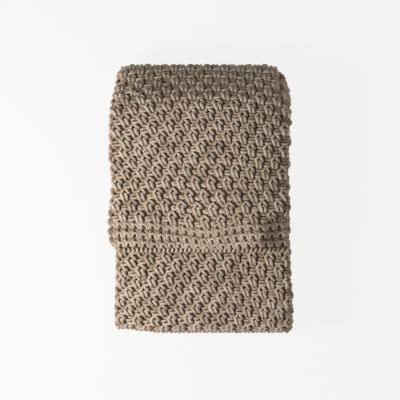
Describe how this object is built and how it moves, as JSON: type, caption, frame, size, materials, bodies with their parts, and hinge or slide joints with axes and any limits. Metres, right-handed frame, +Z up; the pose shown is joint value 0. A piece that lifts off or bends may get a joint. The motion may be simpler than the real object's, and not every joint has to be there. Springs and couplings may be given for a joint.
{
  "type": "folded chunky knit throw blanket",
  "caption": "Chunky knitted throw in moss stitch with a ribbed border, folded into a thick soft stack with its flap on top.",
  "frame": {"origin": "centre of the folded throw's footprint, on the surface that it lies on", "axes": "+Z up from the surface, +Y towards the folded head end, +X towards the nested side fold"},
  "size_m": [0.3366, 0.4912, 0.1538],
  "materials": {
    "taupe_wool": "matt, fuzzy wool yarn"
  },
  "bodies": {
    "root": {"throw": "taupe_wool"}
  },
  "joints": []
}
